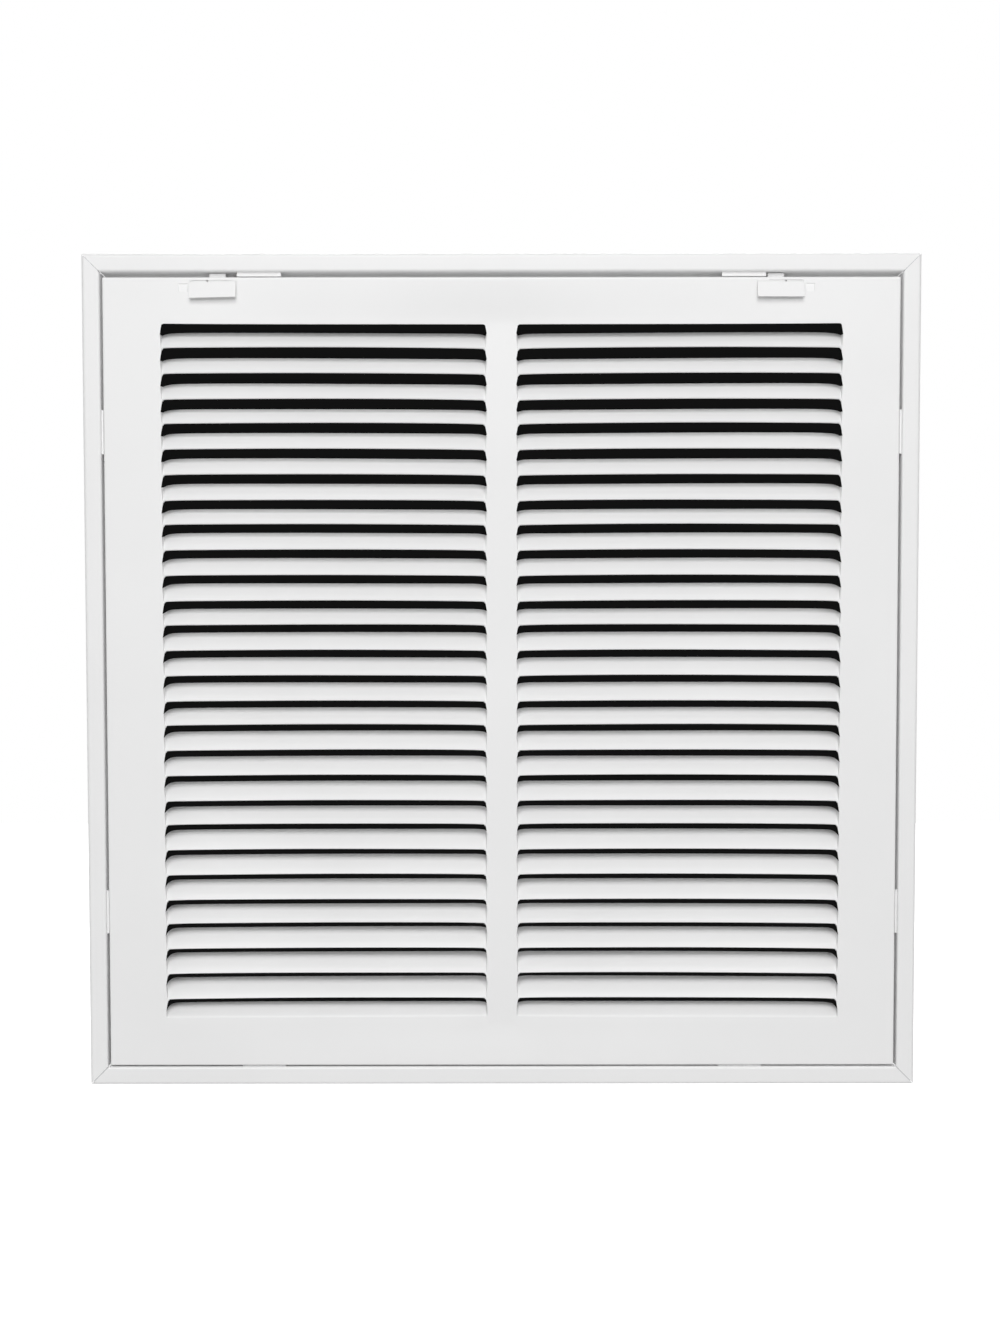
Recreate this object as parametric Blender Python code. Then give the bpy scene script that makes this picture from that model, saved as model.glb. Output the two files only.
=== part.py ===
"""Return air filter grille for a wall or ceiling: a mitred steel frame and a hinged, louvred steel door.

The frame is four roll-formed rails with keys in the mitred corners. Its collar goes into the duct
opening and holds a one-inch filter. The door is one pressed sheet with two banks of louvres. It hooks
over two tabs of the bottom rail, and two thumb latches slide behind two tabs of the top rail.

X runs to the right, +Y into the wall and +Z up. The origin is the middle of the whole grille.
"""

import math

import bmesh
import bpy
from mathutils import Matrix, Vector

MM = 0.001

# Frame seen from the room
FACE_SIZE = 422.0 * MM
FRAME_DEPTH = 8.0 * MM
FRAME_SHEET = 0.7 * MM
RIM_WIDTH = 9.2 * MM
OUTER_BEND = 2.0 * MM
INNER_BEND = 1.3 * MM
INSIDE_BEND = 0.6 * MM
MITRE_GAP = 0.3 * MM

# Collar in the duct opening, and the lip behind the filter
COLLAR_FROM_EDGE = 33.8 * MM
COLLAR_DEPTH = 28.7 * MM
FILTER_STOP = 8.0 * MM

# Tabs pressed out of the inner wall of each rail
TAB_LENGTH = 22.2 * MM
TAB_FROM_CORNER = 89.1 * MM
TAB_SETBACK = 1.6 * MM
TAB_REACH = 2.1 * MM
TAB_RELIEF = 0.4 * MM
SIDE_TAB_CLEARANCE = 0.35 * MM

# Screw holes in the ledge, behind the door
SCREW_HOLE = 5.2 * MM
SCREW_FROM_CORNER = 101.0 * MM

# Corner keys inside the frame
KEY_SHEET = 1.2 * MM
KEY_LEG = 34.0 * MM
KEY_FLANGE = 3.6 * MM
KEY_CHAMFER = 2.0 * MM
SEAT = 0.3 * MM

# Door
DOOR_SHEET = 0.7 * MM
SIDE_GAP = 1.3 * MM
TOP_GAP = 2.7 * MM
BOTTOM_GAP = 0.9 * MM
DOOR_BEND = 1.0 * MM
HINGE_PROUD = 0.4 * MM
HINGE_SLOT_SETBACK = 1.2 * MM
HINGE_SLOT_DEPTH = 3.8 * MM
HINGE_SLOT_SIDE = 0.6 * MM

# Louvres
LOUVRE_PITCH = 12.7 * MM
TOP_PANEL = 23.7 * MM
BOTTOM_PANEL = 20.4 * MM
SIDE_PANEL = 28.85 * MM
MULLION = 14.9 * MM
LOUVRE_DEPTH = 10.1 * MM
LOUVRE_RISE = 10.1 * MM
LOUVRE_LIFT = 1.2 * MM
LOUVRE_ROOT = 7.0 * MM
OUTER_RAMP = 3.6 * MM
INNER_RAMP = 2.4 * MM
SLOT_LEAN = 0.8 * MM
SLOT_CORNER = 1.6 * MM
LAST_LOUVRE_SHORT = 3.2 * MM
LAST_LOUVRE_DEPTH = 8.9 * MM
LOUVRE_STEPS = 3

# Thumb latches below the top edge of the door
LATCH_SHEET = 0.7 * MM
LATCH_GAP = 0.3 * MM
LATCH_BELOW_TOP = 1.9 * MM
THUMB_WIDTH = 23.4 * MM
THUMB_HEIGHT = 8.4 * MM
THUMB_LIP = 2.2 * MM
THUMB_FLARE = 1.7 * MM
LEFT_LATCH_FROM_EDGE = 54.5 * MM
RIGHT_LATCH_FROM_EDGE = 59.3 * MM
WEB_INSET = 1.2 * MM
WEB_WIDTH = 7.6 * MM
FOLD_RELIEF = 0.7 * MM
BACK_HEIGHT = 4.2 * MM
FINGER_WIDTH = 8.2 * MM
FINGER_RISE = 2.3 * MM
FINGER_OVERLAP = 7.0 * MM
CATCH_CLEARANCE = 0.4 * MM

# Pressed marks that stop the latches at their open ends
MARK_WIDTH = 4.4 * MM
MARK_HEIGHT = 4.2 * MM
MARK_DEPTH = 0.45 * MM
MARK_BELOW_TOP = 3.2 * MM
MARK_FROM_LATCH = 1.1 * MM

# Facets of the round bends
BEND_STEPS = 3
HOLE_SIDES = 16

# Worked out from the sizes above
HALF = FACE_SIZE / 2
THUMB_FRONT = LATCH_GAP + LATCH_SHEET + THUMB_FLARE
WALL_Y = (FRAME_DEPTH + THUMB_FRONT - COLLAR_DEPTH) / 2
FACE_Y = WALL_Y - FRAME_DEPTH
RIM_INSIDE = HALF - RIM_WIDTH
COLLAR_OUTSIDE = HALF - COLLAR_FROM_EDGE
COLLAR_INSIDE = COLLAR_OUTSIDE - FRAME_SHEET
SCREW_LINE = (RIM_INSIDE + COLLAR_OUTSIDE) / 2
LEDGE_Y = WALL_Y - FRAME_SHEET
DOOR_SIDE = RIM_INSIDE - SIDE_GAP
DOOR_TOP = RIM_INSIDE - TOP_GAP
DOOR_BOTTOM = -RIM_INSIDE + BOTTOM_GAP
DOOR_FLANGE = LEDGE_Y - SEAT - FACE_Y
TAB_X = HALF - TAB_FROM_CORNER
TAB_Y = FACE_Y + TAB_SETBACK
FINGER_Y = TAB_Y + FRAME_SHEET + CATCH_CLEARANCE
HINGE_Y = FACE_Y - HINGE_PROUD
HINGE_Z = DOOR_BOTTOM
BANK_OUTER = DOOR_SIDE - SIDE_PANEL
BANK_WIDTH = BANK_OUTER - MULLION / 2
FIELD_TOP = DOOR_TOP - TOP_PANEL
LOUVRE_ROWS = math.floor((FIELD_TOP - DOOR_BOTTOM - BOTTOM_PANEL) / LOUVRE_PITCH)


def clear_scene():
    for obj in list(bpy.data.objects):
        bpy.data.objects.remove(obj, do_unlink=True)


def make_material(name, colour, roughness, metallic):
    material = bpy.data.materials.new(name)
    material.use_nodes = True
    shader = material.node_tree.nodes["Principled BSDF"]
    shader.inputs["Base Color"].default_value = (*colour, 1.0)
    shader.inputs["Roughness"].default_value = roughness
    shader.inputs["Metallic"].default_value = metallic
    return material


def add_object(name, bm, material=None):
    mesh = bpy.data.meshes.new(name)
    bmesh.ops.recalc_face_normals(bm, faces=bm.faces)
    bm.to_mesh(mesh)
    bm.free()
    obj = bpy.data.objects.new(name, mesh)
    bpy.context.scene.collection.objects.link(obj)
    if material:
        mesh.materials.append(material)
        mesh.shade_smooth()
        mesh.set_sharp_from_angle(angle=math.radians(35))
    return obj


def add_cutter(name, bm, parent=None):
    """A helper shape for a Boolean, left out of the render."""
    cutter = add_object(name, bm)
    cutter.hide_render = True
    cutter.display_type = "WIRE"
    cutter.parent = parent
    return cutter


def add_boolean(obj, name, operation, other):
    modifier = obj.modifiers.new(name, "BOOLEAN")
    modifier.operation = operation
    modifier.solver = "EXACT"
    modifier.object = other


def add_box(bm, low, high):
    centre = [(a + b) / 2 for a, b in zip(low, high)]
    size = [b - a for a, b in zip(low, high)]
    place = Matrix.Translation(centre) @ Matrix.Diagonal((*size, 1.0))
    return bmesh.ops.create_cube(bm, size=1.0, matrix=place)["verts"]


def rounded_path(corners, radii):
    """The path through the corners, with each inner corner replaced by an arc of its radius."""
    points = [Vector(corners[0])]
    for before, corner, after, radius in zip(corners, corners[1:], corners[2:], radii):
        corner = Vector(corner)
        back = (Vector(before) - corner).normalized()
        ahead = (Vector(after) - corner).normalized()
        half_angle = back.angle(ahead) / 2
        centre = corner + (back + ahead).normalized() * (radius / math.sin(half_angle))
        start = (corner + back * (radius / math.tan(half_angle)) - centre).normalized()
        end = (corner + ahead * (radius / math.tan(half_angle)) - centre).normalized()
        for step in range(BEND_STEPS + 1):
            points.append(centre + start.slerp(end, step / BEND_STEPS) * radius)
    points.append(Vector(corners[-1]))
    return points


def rail_section():
    """The closed outline of a rail, as (inward from the outer edge, towards the wall)."""
    sheet = FRAME_SHEET
    stop_end = HALF - COLLAR_INSIDE + FILTER_STOP
    room_side = [
        (0.0, 0.0),
        (0.0, -FRAME_DEPTH),
        (RIM_WIDTH, -FRAME_DEPTH),
        (RIM_WIDTH, -sheet),
        (HALF - COLLAR_INSIDE, -sheet),
        (HALF - COLLAR_INSIDE, COLLAR_DEPTH - sheet),
        (stop_end, COLLAR_DEPTH - sheet),
    ]
    wall_side = [
        (sheet, 0.0),
        (sheet, -FRAME_DEPTH + sheet),
        (RIM_WIDTH - sheet, -FRAME_DEPTH + sheet),
        (RIM_WIDTH - sheet, 0.0),
        (HALF - COLLAR_INSIDE - sheet, 0.0),
        (HALF - COLLAR_INSIDE - sheet, COLLAR_DEPTH),
        (stop_end, COLLAR_DEPTH),
    ]
    room_radii = [OUTER_BEND, INNER_BEND, INSIDE_BEND, INNER_BEND, INSIDE_BEND]
    wall_radii = [
        OUTER_BEND - sheet,
        INNER_BEND - sheet,
        INSIDE_BEND + sheet,
        INNER_BEND - sheet,
        INSIDE_BEND + sheet,
    ]
    outline = rounded_path(room_side, room_radii)
    return outline + rounded_path(wall_side, wall_radii)[::-1]


def make_rail(name, turn, tab_reach, has_screw_holes, material):
    """One rail as the top rail, with its mitred ends, turned about the Y axis into its place."""
    section = rail_section()
    bm = bmesh.new()
    mitre = MITRE_GAP / math.sqrt(2)
    ends = []
    for side in (-1, 1):
        ends.append(
            [bm.verts.new((side * (HALF - u - mitre), WALL_Y + v, HALF - u)) for u, v in section]
        )
    for i in range(len(section)):
        bm.faces.new((ends[0][i - 1], ends[0][i], ends[1][i], ends[1][i - 1]))
    bm.faces.new(ends[0][::-1])
    bm.faces.new(ends[1])
    rail = add_object(name, bm, material)

    windows = bmesh.new()
    tabs = bmesh.new()
    wall_z = RIM_INSIDE + FRAME_SHEET
    tab_back = TAB_Y + FRAME_SHEET
    for side in (-1, 1):
        left = side * TAB_X - TAB_LENGTH / 2
        right = side * TAB_X + TAB_LENGTH / 2
        window_low = (left - TAB_RELIEF, tab_back, RIM_INSIDE - FRAME_SHEET)
        window_high = (right + TAB_RELIEF, tab_back + TAB_REACH, wall_z + FRAME_SHEET)
        add_box(windows, window_low, window_high)
        tab_low = (left, TAB_Y, RIM_INSIDE - tab_reach)
        add_box(tabs, tab_low, (right, tab_back, RIM_INSIDE + FRAME_SHEET / 2))
        if has_screw_holes:
            hole = Matrix.Translation((side * (HALF - SCREW_FROM_CORNER), WALL_Y, SCREW_LINE))
            bmesh.ops.create_cone(
                windows,
                cap_ends=True,
                segments=HOLE_SIDES,
                radius1=SCREW_HOLE / 2,
                radius2=SCREW_HOLE / 2,
                depth=4 * FRAME_SHEET,
                matrix=hole @ Matrix.Rotation(math.pi / 2, 4, "X"),
            )
    add_boolean(rail, "windows", "DIFFERENCE", add_cutter(name + "_windows", windows, rail))
    add_boolean(rail, "tabs", "UNION", add_cutter(name + "_tabs", tabs, rail))
    rail.rotation_euler = (0.0, turn, 0.0)
    return rail


def make_corner_key(name, turn, material):
    """An angle-section key inside the hollow of two rails, as the top left one, turned into place."""
    front = FACE_Y + FRAME_SHEET + SEAT
    outside = HALF - FRAME_SHEET - SEAT - (OUTER_BEND - FRAME_SHEET) / 2
    inside = RIM_INSIDE + FRAME_SHEET + SEAT
    end = HALF - KEY_LEG
    outline = [
        (-outside, outside),
        (-end - KEY_CHAMFER, outside),
        (-end, outside - KEY_CHAMFER),
        (-end, inside),
        (-inside, inside),
        (-inside, end),
        (-outside + KEY_CHAMFER, end),
        (-outside, end + KEY_CHAMFER),
    ]
    bm = bmesh.new()
    plate = bm.faces.new([bm.verts.new((x, front, z)) for x, z in outline])
    back = bmesh.ops.extrude_face_region(bm, geom=[plate])["geom"]
    moved = [v for v in back if isinstance(v, bmesh.types.BMVert)]
    bmesh.ops.translate(bm, vec=(0.0, KEY_SHEET, 0.0), verts=moved)
    key = add_object(name, bm, material)

    flange = bmesh.new()
    fold = inside + KEY_SHEET
    angle = [(-end, inside), (-inside, inside), (-inside, end), (-fold, end), (-fold, fold), (-end, fold)]
    foot = flange.faces.new([flange.verts.new((x, front + KEY_SHEET / 2, z)) for x, z in angle])
    top = bmesh.ops.extrude_face_region(flange, geom=[foot])["geom"]
    moved = [v for v in top if isinstance(v, bmesh.types.BMVert)]
    bmesh.ops.translate(flange, vec=(0.0, KEY_FLANGE, 0.0), verts=moved)
    add_boolean(key, "flange", "UNION", add_cutter(name + "_flange", flange, key))
    key.rotation_euler = (0.0, turn, 0.0)
    return key


def bank_stations():
    """The columns of one louvre bank: (distance from the outer tip, how far the slat is formed)."""
    rounding = SLOT_CORNER * (1 - math.cos(math.pi / 4))
    near_tip = [0.0, SLOT_LEAN + rounding, SLOT_LEAN + SLOT_CORNER]
    outer = near_tip + [OUTER_RAMP]
    columns = [(s, formed(s / OUTER_RAMP)) for s in outer]
    columns += [(BANK_WIDTH - s, formed(s / INNER_RAMP)) for s in reversed(near_tip)]
    return columns


def formed(part):
    """How much of its full depth the slat has at this part of the ramp."""
    return 1 - (1 - min(part, 1.0)) ** 2


def slot_corner(column, count):
    """(inward shift, drop) of a slot's upper edge at a column, which rounds the slot's two upper corners."""
    from_tip = min(column, count - 1 - column)
    if from_tip == 0:
        return SLOT_LEAN, -SLOT_CORNER
    if from_tip == 1:
        return 0.0, -SLOT_CORNER * (1 - math.sin(math.pi / 4))
    return 0.0, 0.0


def slat_point(step, formed_part, depth, low, high):
    """(y, z) of a slat's room side: an arc from its lower edge at the face to its upper edge inside."""
    along = step / LOUVRE_STEPS
    bend_y = 0.2 * depth
    bend_z = low + 0.55 * (high - low)
    y = 2 * along * (1 - along) * bend_y + along**2 * depth
    z = (1 - along) ** 2 * low + 2 * along * (1 - along) * bend_z + along**2 * high
    straight = low + along * (high - low)
    return y, z * formed_part + straight * (1 - formed_part)


def louvre_rows():
    """Each row of points from the bottom up, as functions of (column, count, formed part) to (shift, y, z)."""
    rows = []
    for row in range(LOUVRE_ROWS - 1, -1, -1):
        is_last = row == LOUVRE_ROWS - 1
        cut = FIELD_TOP - (row + 1) * LOUVRE_PITCH
        for step in range(LOUVRE_STEPS + 1):
            rows.append(slat_row(cut, step, is_last))
    rows.append(lambda column, count, part: (slot_corner(column, count)[0], 0.0,
                                             FIELD_TOP + slot_corner(column, count)[1]))
    return rows


def slat_row(cut, step, is_last):
    def place(column, count, part):
        shift, drop = slot_corner(column, count)
        low = cut + drop + LOUVRE_LIFT * part
        depth = LOUVRE_DEPTH * part
        if is_last:
            shift = 0.0
            low = cut + LAST_LOUVRE_SHORT
            depth = LAST_LOUVRE_DEPTH * part
        high = cut + LOUVRE_ROOT + (LOUVRE_RISE - LOUVRE_ROOT) * part
        y, z = slat_point(step, part, depth, low, high)
        return shift * (1 - step / LOUVRE_STEPS), y, z

    return place


def make_door(material):
    stations = bank_stations()
    count = len(stations)
    rows = louvre_rows()
    bm = bmesh.new()
    bmesh.ops.create_grid(bm, x_segments=2 * count - 1, y_segments=len(rows) - 1, size=1.0)
    grid = {}
    for vert in bm.verts:
        column = round((vert.co.x + 1) / 2 * (2 * count - 1))
        grid[column, round((vert.co.y + 1) / 2 * (len(rows) - 1))] = vert

    # Each face is in a slot when it lies in a bank and above a slat's upper edge
    in_slot = []
    for face in bm.faces:
        middle = face.calc_center_median()
        column = math.floor((middle.x + 1) / 2 * (2 * count - 1))
        row = math.floor((middle.y + 1) / 2 * (len(rows) - 1))
        if column != count - 1 and row % (LOUVRE_STEPS + 1) == LOUVRE_STEPS:
            in_slot.append(face)

    for (column, row), vert in grid.items():
        side = -1 if column < count else 1
        station = column if column < count else 2 * count - 1 - column
        distance, part = stations[station]
        shift, y, z = rows[row](station, count, part)
        inward = distance + (shift if station < count / 2 else -shift)
        vert.co = (side * (BANK_OUTER - inward), FACE_Y + y, z)

    # The plain margins round the louvres, and the flange behind them
    last_column, last_row = 2 * count - 1, len(rows) - 1
    corners = {}
    for x in (-1, 1):
        for z in (DOOR_BOTTOM, DOOR_TOP):
            corners[x, z] = bm.verts.new((x * DOOR_SIDE, FACE_Y, z))
    low_row = [grid[column, 0] for column in range(last_column + 1)]
    high_row = [grid[column, last_row] for column in range(last_column + 1)]
    left = [grid[0, row] for row in range(last_row + 1)]
    right = [grid[last_column, row] for row in range(last_row + 1)]
    bm.faces.new([corners[-1, DOOR_TOP], *high_row, corners[1, DOOR_TOP]])
    bm.faces.new([corners[1, DOOR_BOTTOM], *low_row[::-1], corners[-1, DOOR_BOTTOM]])
    bm.faces.new([corners[-1, DOOR_BOTTOM], *left, corners[-1, DOOR_TOP]])
    bm.faces.new([corners[1, DOOR_TOP], *right[::-1], corners[1, DOOR_BOTTOM]])
    bmesh.ops.delete(bm, geom=in_slot, context="FACES")
    bmesh.ops.recalc_face_normals(bm, faces=bm.faces)

    rim = [e for e in bm.edges if all(v in corners.values() for v in e.verts)]
    folded = bmesh.ops.extrude_edge_only(bm, edges=rim)["geom"]
    moved = [v for v in folded if isinstance(v, bmesh.types.BMVert)]
    bmesh.ops.translate(bm, vec=(0.0, DOOR_FLANGE, 0.0), verts=moved)
    bmesh.ops.bevel(
        bm,
        geom=rim,
        affect="EDGES",
        offset=DOOR_BEND,
        offset_type="OFFSET",
        segments=BEND_STEPS - 1,
        profile=0.5,
        material=-1,
    )
    face_the_room(bm)

    # The door's own origin is on its hinge
    bmesh.ops.translate(bm, vec=(0.0, -HINGE_Y, -HINGE_Z), verts=bm.verts)
    door = add_sheet("grille_door", bm, material, DOOR_SHEET)
    door.location = (0.0, HINGE_Y, HINGE_Z)
    add_boolean(door, "slots", "DIFFERENCE", add_cutter("grille_door_slots", door_cuts()))
    add_boolean(door, "bumps", "UNION", add_cutter("grille_door_bumps", latch_marks(False)))
    add_boolean(door, "marks", "DIFFERENCE", add_cutter("grille_door_marks", latch_marks(True)))
    return door


def face_the_room(bm):
    """Turns the faces of an open sheet so that its plain front looks along -Y."""
    bmesh.ops.recalc_face_normals(bm, faces=bm.faces)
    if sum(f.normal.y * f.calc_area() for f in bm.faces) > 0:
        bmesh.ops.reverse_faces(bm, faces=bm.faces)


def add_sheet(name, bm, material, thickness):
    """A folded sheet: the room side as modelled, and its thickness behind it."""
    mesh = bpy.data.meshes.new(name)
    bm.to_mesh(mesh)
    bm.free()
    mesh.materials.append(material)
    mesh.shade_smooth()
    mesh.set_sharp_from_angle(angle=math.radians(35))
    obj = bpy.data.objects.new(name, mesh)
    bpy.context.scene.collection.objects.link(obj)
    solidify = obj.modifiers.new("thickness", "SOLIDIFY")
    solidify.thickness = thickness
    solidify.offset = -1.0
    solidify.use_even_offset = True
    return obj


def latch_place(side):
    """The X of the latch's outboard edge, its travel towards the middle, and that direction."""
    from_edge = LEFT_LATCH_FROM_EDGE if side < 0 else RIGHT_LATCH_FROM_EDGE
    outboard = side * (HALF - from_edge)
    tab_end = TAB_X + TAB_LENGTH / 2
    travel = (HALF - from_edge) - latch_columns()[3] - tab_end + FINGER_OVERLAP
    return outboard, travel, -side


def latch_columns():
    """How far the edges of the latch's web and finger are from its outboard edge."""
    web_end = WEB_INSET + WEB_WIDTH
    finger_start = web_end + FOLD_RELIEF
    return WEB_INSET, web_end, finger_start, finger_start + FINGER_WIDTH


def door_cuts():
    """The hinge slots in the bottom flange, and each latch's slots in the face and the top flange."""
    bm = bmesh.new()
    reach = 2 * DOOR_SHEET
    web_start, web_end, finger_start, finger_end = latch_columns()
    web_top = DOOR_TOP - LATCH_BELOW_TOP
    for side in (-1, 1):
        half_slot = TAB_LENGTH / 2 + HINGE_SLOT_SIDE
        slot_y = FACE_Y + HINGE_SLOT_SETBACK
        low = (side * TAB_X - half_slot, slot_y, DOOR_BOTTOM - reach)
        high = (side * TAB_X + half_slot, slot_y + HINGE_SLOT_DEPTH, DOOR_BOTTOM + reach)
        add_box(bm, low, high)

        outboard, travel, inward = latch_place(side)
        ends = (outboard + inward * (web_start - SEAT), outboard + inward * (web_end + travel + SEAT))
        low = (min(ends), FACE_Y - reach, web_top - LATCH_SHEET - SEAT)
        high = (max(ends), FACE_Y + reach, web_top + SEAT)
        add_box(bm, low, high)

        ends = (outboard + inward * (finger_start - SEAT), outboard + inward * (finger_end + travel + SEAT))
        low = (min(ends), FINGER_Y - CATCH_CLEARANCE, DOOR_TOP - reach)
        high = (max(ends), FINGER_Y + LATCH_SHEET + CATCH_CLEARANCE, DOOR_TOP + reach)
        add_box(bm, low, high)
    return bm


def latch_marks(is_hollow):
    """The wedge-shaped marks beside the latches: hollows in the face, or their bumps behind it."""
    bm = bmesh.new()
    for side in (-1, 1):
        outboard, _, inward = latch_place(side)
        near = outboard - inward * MARK_FROM_LATCH
        far = near - inward * MARK_WIDTH
        top = DOOR_TOP - MARK_BELOW_TOP
        depth = FACE_Y + (0.0 if is_hollow else DOOR_SHEET)
        outline = [(depth + MARK_DEPTH, top), (depth - DOOR_SHEET / 2, top)]
        outline += [(depth - DOOR_SHEET / 2, top - MARK_HEIGHT), (depth, top - MARK_HEIGHT)]
        face = bm.faces.new([bm.verts.new((near, y, z)) for y, z in outline])
        end = bmesh.ops.extrude_face_region(bm, geom=[face])["geom"]
        moved = [v for v in end if isinstance(v, bmesh.types.BMVert)]
        bmesh.ops.translate(bm, vec=(far - near, 0.0, 0.0), verts=moved)
    return bm


def make_latch(name, side, material):
    """A thumb latch bent from one sheet: thumb plate, web through the face, back strip and locking finger."""
    outboard, _, inward = latch_place(side)
    web_start, web_end, finger_start, finger_end = latch_columns()
    front = FACE_Y - LATCH_GAP - LATCH_SHEET
    back = FINGER_Y + LATCH_SHEET
    top = DOOR_TOP - LATCH_BELOW_TOP
    fold = top - LATCH_SHEET
    relief = fold - FOLD_RELIEF
    lip = (front - THUMB_FLARE, top - THUMB_HEIGHT)
    plate = [lip, (front, top - THUMB_HEIGHT + THUMB_LIP), (front, fold)]
    web = [(front, fold), (front + LATCH_SHEET, top), (back, top), (back, relief)]
    bm = bmesh.new()

    def strip(path, columns):
        """Faces between neighbouring path points over the given columns."""
        for (y0, z0), (y1, z1) in zip(path, path[1:]):
            for a, b in zip(columns, columns[1:]):
                ends = [(a, y0, z0), (b, y0, z0), (b, y1, z1), (a, y1, z1)]
                bm.faces.new([bm.verts.new((outboard + inward * s, y, z)) for s, y, z in ends])

    before_web = [0.0, web_start - FOLD_RELIEF]
    after_web = [finger_start, THUMB_WIDTH]
    strip(plate, before_web + [web_start, web_end] + after_web)
    strip([(front, fold), (front, top)], before_web)
    strip([(front, fold), (front, top)], after_web)
    strip(web, [web_start, web_end])
    strip([(back, relief), (back, top - BACK_HEIGHT)], [web_start, web_end, finger_start, finger_end])
    strip([(back, DOOR_TOP + FINGER_RISE), (back, relief)], [finger_start, finger_end])
    bmesh.ops.remove_doubles(bm, verts=bm.verts, dist=0.01 * MM)
    face_the_room(bm)
    return add_sheet(name, bm, material, LATCH_SHEET)


def main():
    clear_scene()
    white = make_material("white_powder_coat", (0.82, 0.82, 0.82), 0.42, 0.0)
    door_white = make_material("door_powder_coat", (0.82, 0.82, 0.82), 0.4, 0.0)
    latch_white = make_material("latch_powder_coat", (0.84, 0.84, 0.84), 0.38, 0.0)
    zinc = make_material("zinc_plate", (0.55, 0.56, 0.57), 0.35, 1.0)

    side_reach = SIDE_GAP - SIDE_TAB_CLEARANCE
    make_rail("frame_rail_top", 0.0, TAB_REACH, True, white)
    make_rail("frame_rail_right", math.pi / 2, side_reach, False, white)
    make_rail("frame_rail_bottom", math.pi, TAB_REACH, True, white)
    make_rail("frame_rail_left", -math.pi / 2, side_reach, False, white)
    corners = ("top_left", "top_right", "bottom_right", "bottom_left")
    for quarter, corner in enumerate(corners):
        make_corner_key("corner_key_" + corner, quarter * math.pi / 2, zinc)
    make_door(door_white)
    make_latch("thumb_latch_left", -1, latch_white)
    make_latch("thumb_latch_right", 1, latch_white)


main()
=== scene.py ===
"""Look of a white return air filter grille: frame rails, louvred door, thumb latches, corner keys and studio.

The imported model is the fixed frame, in metres, with X to the right, +Y into the wall and +Z up. Each operator
models one piece, or one group of like pieces, over the solid that it stands for.
"""

import math

import bmesh
import bpy
from bpy.props import FloatProperty, FloatVectorProperty, IntProperty, PointerProperty
from bpy.types import Operator, Panel, PropertyGroup
from mathutils import Matrix, Vector, noise


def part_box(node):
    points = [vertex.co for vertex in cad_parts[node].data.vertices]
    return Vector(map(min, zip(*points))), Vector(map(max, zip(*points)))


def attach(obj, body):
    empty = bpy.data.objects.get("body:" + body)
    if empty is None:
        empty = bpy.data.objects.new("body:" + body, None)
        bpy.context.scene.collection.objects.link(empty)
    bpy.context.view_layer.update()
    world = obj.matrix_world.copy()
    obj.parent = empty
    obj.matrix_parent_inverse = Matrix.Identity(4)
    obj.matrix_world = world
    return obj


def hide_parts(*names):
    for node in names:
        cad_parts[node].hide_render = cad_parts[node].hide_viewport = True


bl_info = {
    "name": "Return Air Filter Grille",
    "version": (1, 0, 0),
    "blender": (4, 5, 0),
    "location": "3D View > Sidebar > Grille",
    "description": "Models a return air grille with a mitred frame, a louvred door and two thumb latches",
    "category": "Object",
}

MM = 0.001

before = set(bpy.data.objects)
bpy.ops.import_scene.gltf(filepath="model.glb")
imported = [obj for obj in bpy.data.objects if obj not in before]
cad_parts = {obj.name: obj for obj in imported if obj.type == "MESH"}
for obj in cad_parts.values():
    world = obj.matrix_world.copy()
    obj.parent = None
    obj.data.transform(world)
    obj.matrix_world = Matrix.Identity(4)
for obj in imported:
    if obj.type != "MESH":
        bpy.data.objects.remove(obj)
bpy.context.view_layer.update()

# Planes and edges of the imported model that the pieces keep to
RAIL_LOW, RAIL_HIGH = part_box("frame_rail_top")
DOOR_LOW, DOOR_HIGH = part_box("grille_door")
LEFT_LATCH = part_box("thumb_latch_left")
RIGHT_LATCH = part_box("thumb_latch_right")
HALF = RAIL_HIGH.z
FACE_Y = RAIL_LOW.y
BACK_Y = RAIL_HIGH.y
DOOR_SIDE = DOOR_HIGH.x
DOOR_TOP = DOOR_HIGH.z
DOOR_BOTTOM = DOOR_LOW.z

# Finish of the sheet metal
PAINTED_EDGE = 0.12 * MM  # rounding that the paint gives a cut edge
TAB_FOLD = 0.4 * MM  # radius of the fold at a tab's root

# Room round the latches
CLEAR = 0.3 * MM  # round a latch's web in its slot
FINGER_GAP = 0.4 * MM  # behind the catch tabs, and round a finger in its slot


def length(name, default_mm, description):
    """A length property, with its default given in millimetres."""
    return FloatProperty(
        name=name,
        description=description,
        default=default_mm * MM,
        min=0.0,
        subtype="DISTANCE",
        unit="LENGTH",
        precision=5,
    )


def colour(name, default, description):
    return FloatVectorProperty(
        name=name, description=description, default=default, size=3, min=0.0, max=1.0, subtype="COLOR"
    )


def power(name, default, description):
    return FloatProperty(name=name, description=description, default=default, min=0.0, unit="POWER")


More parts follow.
